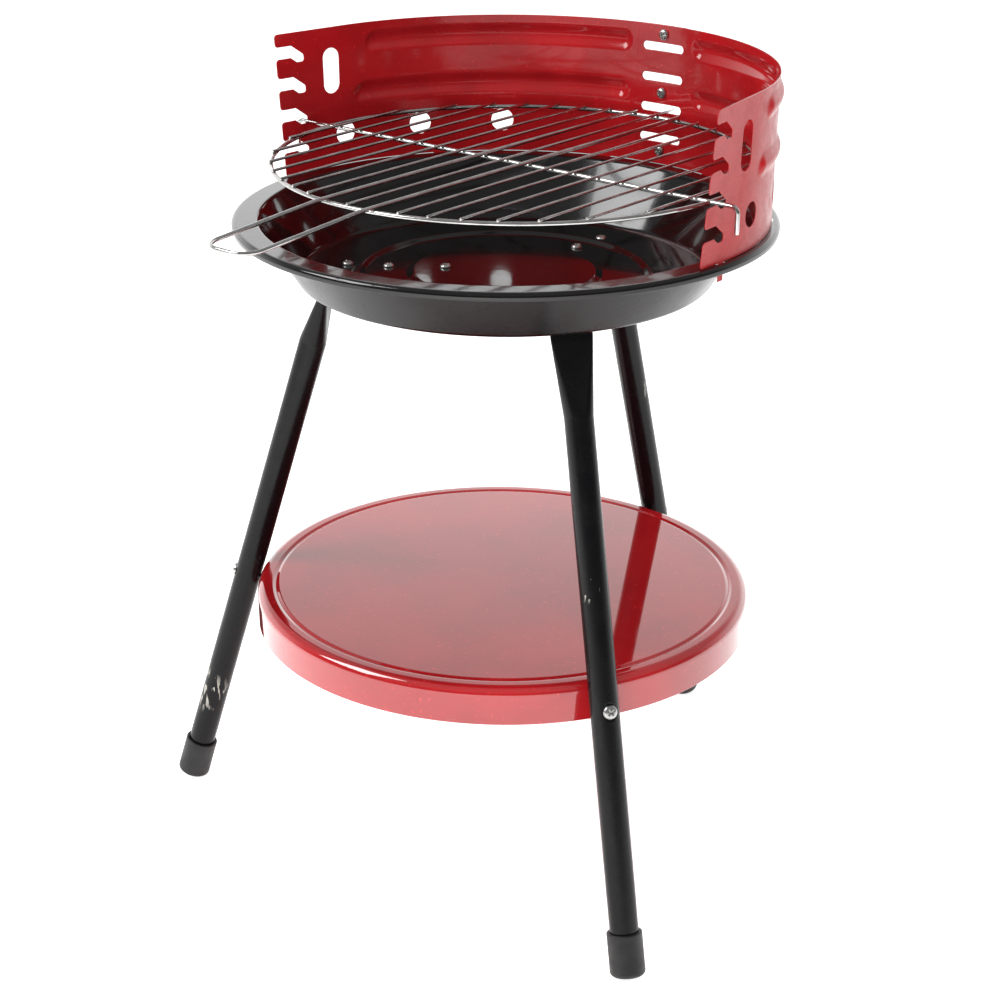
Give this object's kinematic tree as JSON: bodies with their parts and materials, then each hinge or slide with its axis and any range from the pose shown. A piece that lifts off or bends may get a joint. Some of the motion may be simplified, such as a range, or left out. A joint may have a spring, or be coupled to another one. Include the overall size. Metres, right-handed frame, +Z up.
{
  "type": "charcoal barbecue",
  "caption": "Round open charcoal barbecue: enamelled fire bowl on three splayed tube legs, wind screen with height notches, lift-off wire grate and a round shelf.",
  "frame": {"origin": "on the floor, under the centre of the fire bowl", "axes": "+Z up, +Y to the rear leg and the lap of the wind screen, -Y to the grate's handle"},
  "size_m": [0.5, 0.5914, 0.6348],
  "materials": {
    "black_enamel": "gloss",
    "red_enamel": "gloss",
    "leg_paint": "satin",
    "foot_plastic": "matte",
    "chrome_wire": "bright",
    "zinc_screw": "zinc plated"
  },
  "bodies": {
    "barbecue": {"fire_bowl": "black_enamel", "wind_screen_left": "red_enamel", "wind_screen_right": "red_enamel", "screen_lap_screws": "zinc_screw", "screen_lap_nuts": "zinc_screw", "leg_front_right": "leg_paint", "leg_front_left": "leg_paint", "leg_rear": "leg_paint", "leg_screws": "zinc_screw", "leg_nuts": "zinc_screw", "foot_cap_front_right": "foot_plastic", "foot_cap_front_left": "foot_plastic", "foot_cap_rear": "foot_plastic", "bowl_floor_screw": "zinc_screw", "bowl_floor_nut": "zinc_screw", "shelf_tray": "red_enamel", "shelf_screws": "zinc_screw", "shelf_nuts": "zinc_screw"},
    "grate": {"grate_ring": "chrome_wire", "grate_rods": "chrome_wire", "grate_handle": "chrome_wire", "grate_crossbar": "chrome_wire"}
  },
  "joints": [
    {"name": "grate_lift", "type": "slide", "parent": "barbecue", "child": "grate", "axis": [0, -0.9239, 0.3827], "range_m": [0, 0.3]}
  ]
}
